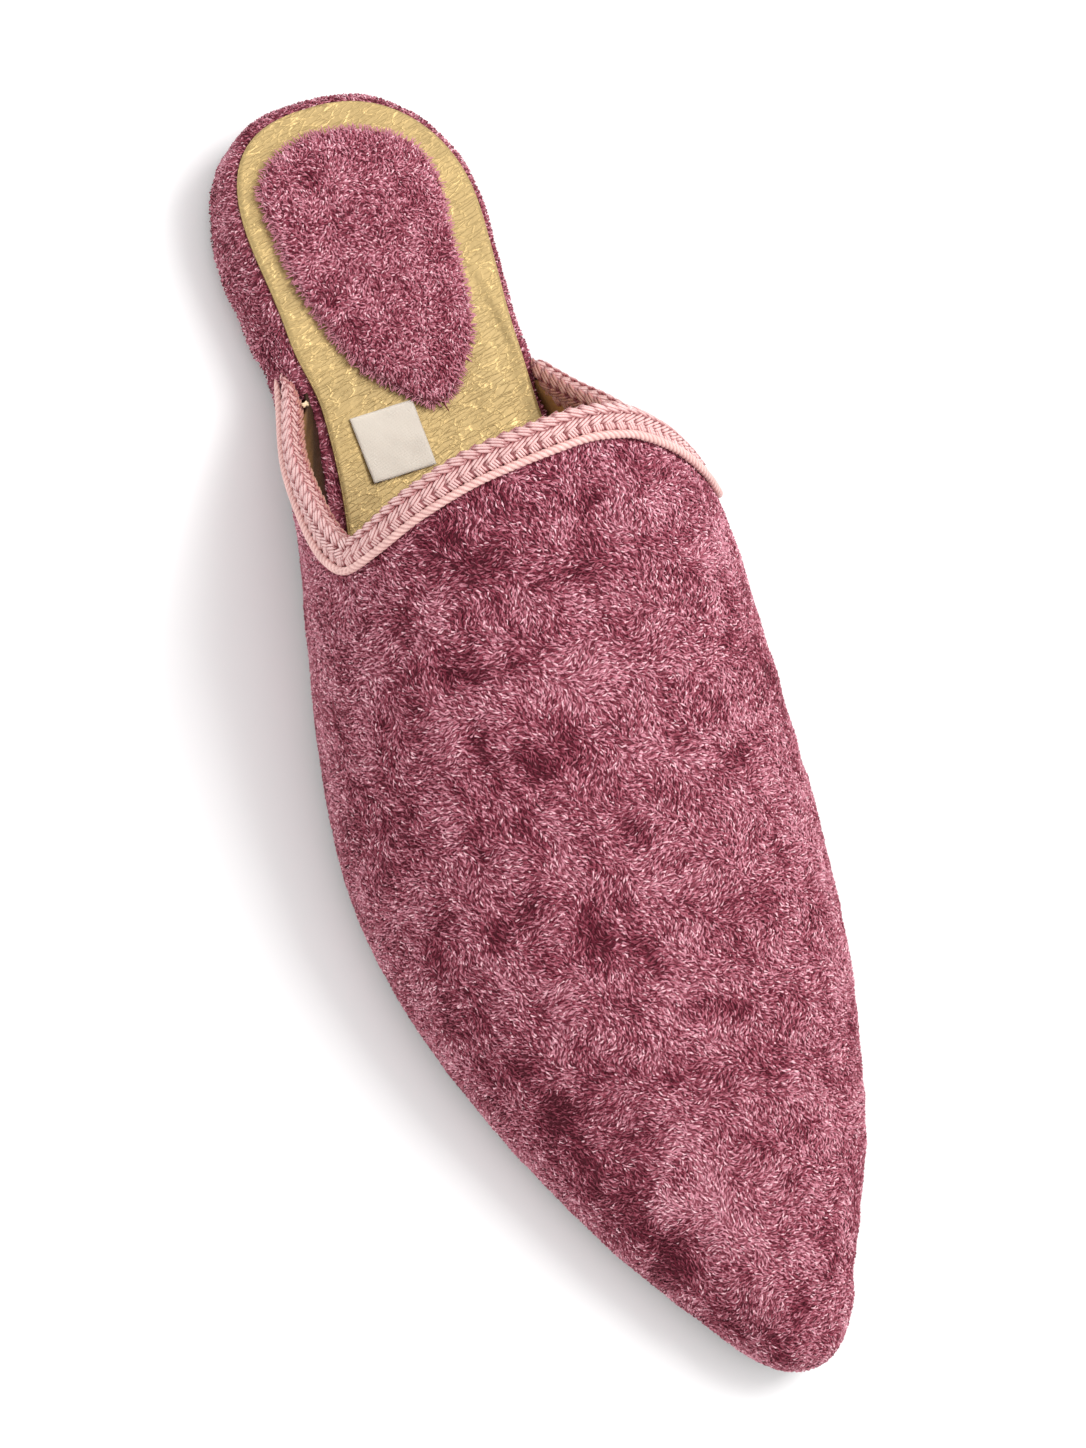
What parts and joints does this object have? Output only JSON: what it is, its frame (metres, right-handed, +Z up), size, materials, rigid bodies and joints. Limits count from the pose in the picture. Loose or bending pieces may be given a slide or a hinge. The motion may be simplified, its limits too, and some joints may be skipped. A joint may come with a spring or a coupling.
{
  "type": "babouche slipper",
  "caption": "Right-foot velvet babouche mule with a pointed toe, braided throat and wings, open back, teardrop heel pad and a low wedge sole.",
  "frame": {"origin": "centre of the box round the shoe, on the floor", "axes": "+Z up, the toe points to -Y and the heel to +Y, the lateral side is -X and the medial side +X"},
  "size_m": [0.0974, 0.28, 0.0717],
  "materials": {
    "velvet": "crushed velvet, dusty rose",
    "satin_braid": "plaited satin, pale pink",
    "cord_thread": "twisted thread, peach pink",
    "gold_leather": "finely crinkled gold",
    "label_cloth": "woven, off-white",
    "dark_leather": "matt dark brown"
  },
  "bodies": {
    "root": {"outsole": "dark_leather", "platform": "velvet", "insole": "gold_leather", "heel_pad": "velvet", "label": "label_cloth", "upper": "velvet", "collar_braid": "satin_braid", "edge_cord": "cord_thread"}
  },
  "joints": []
}
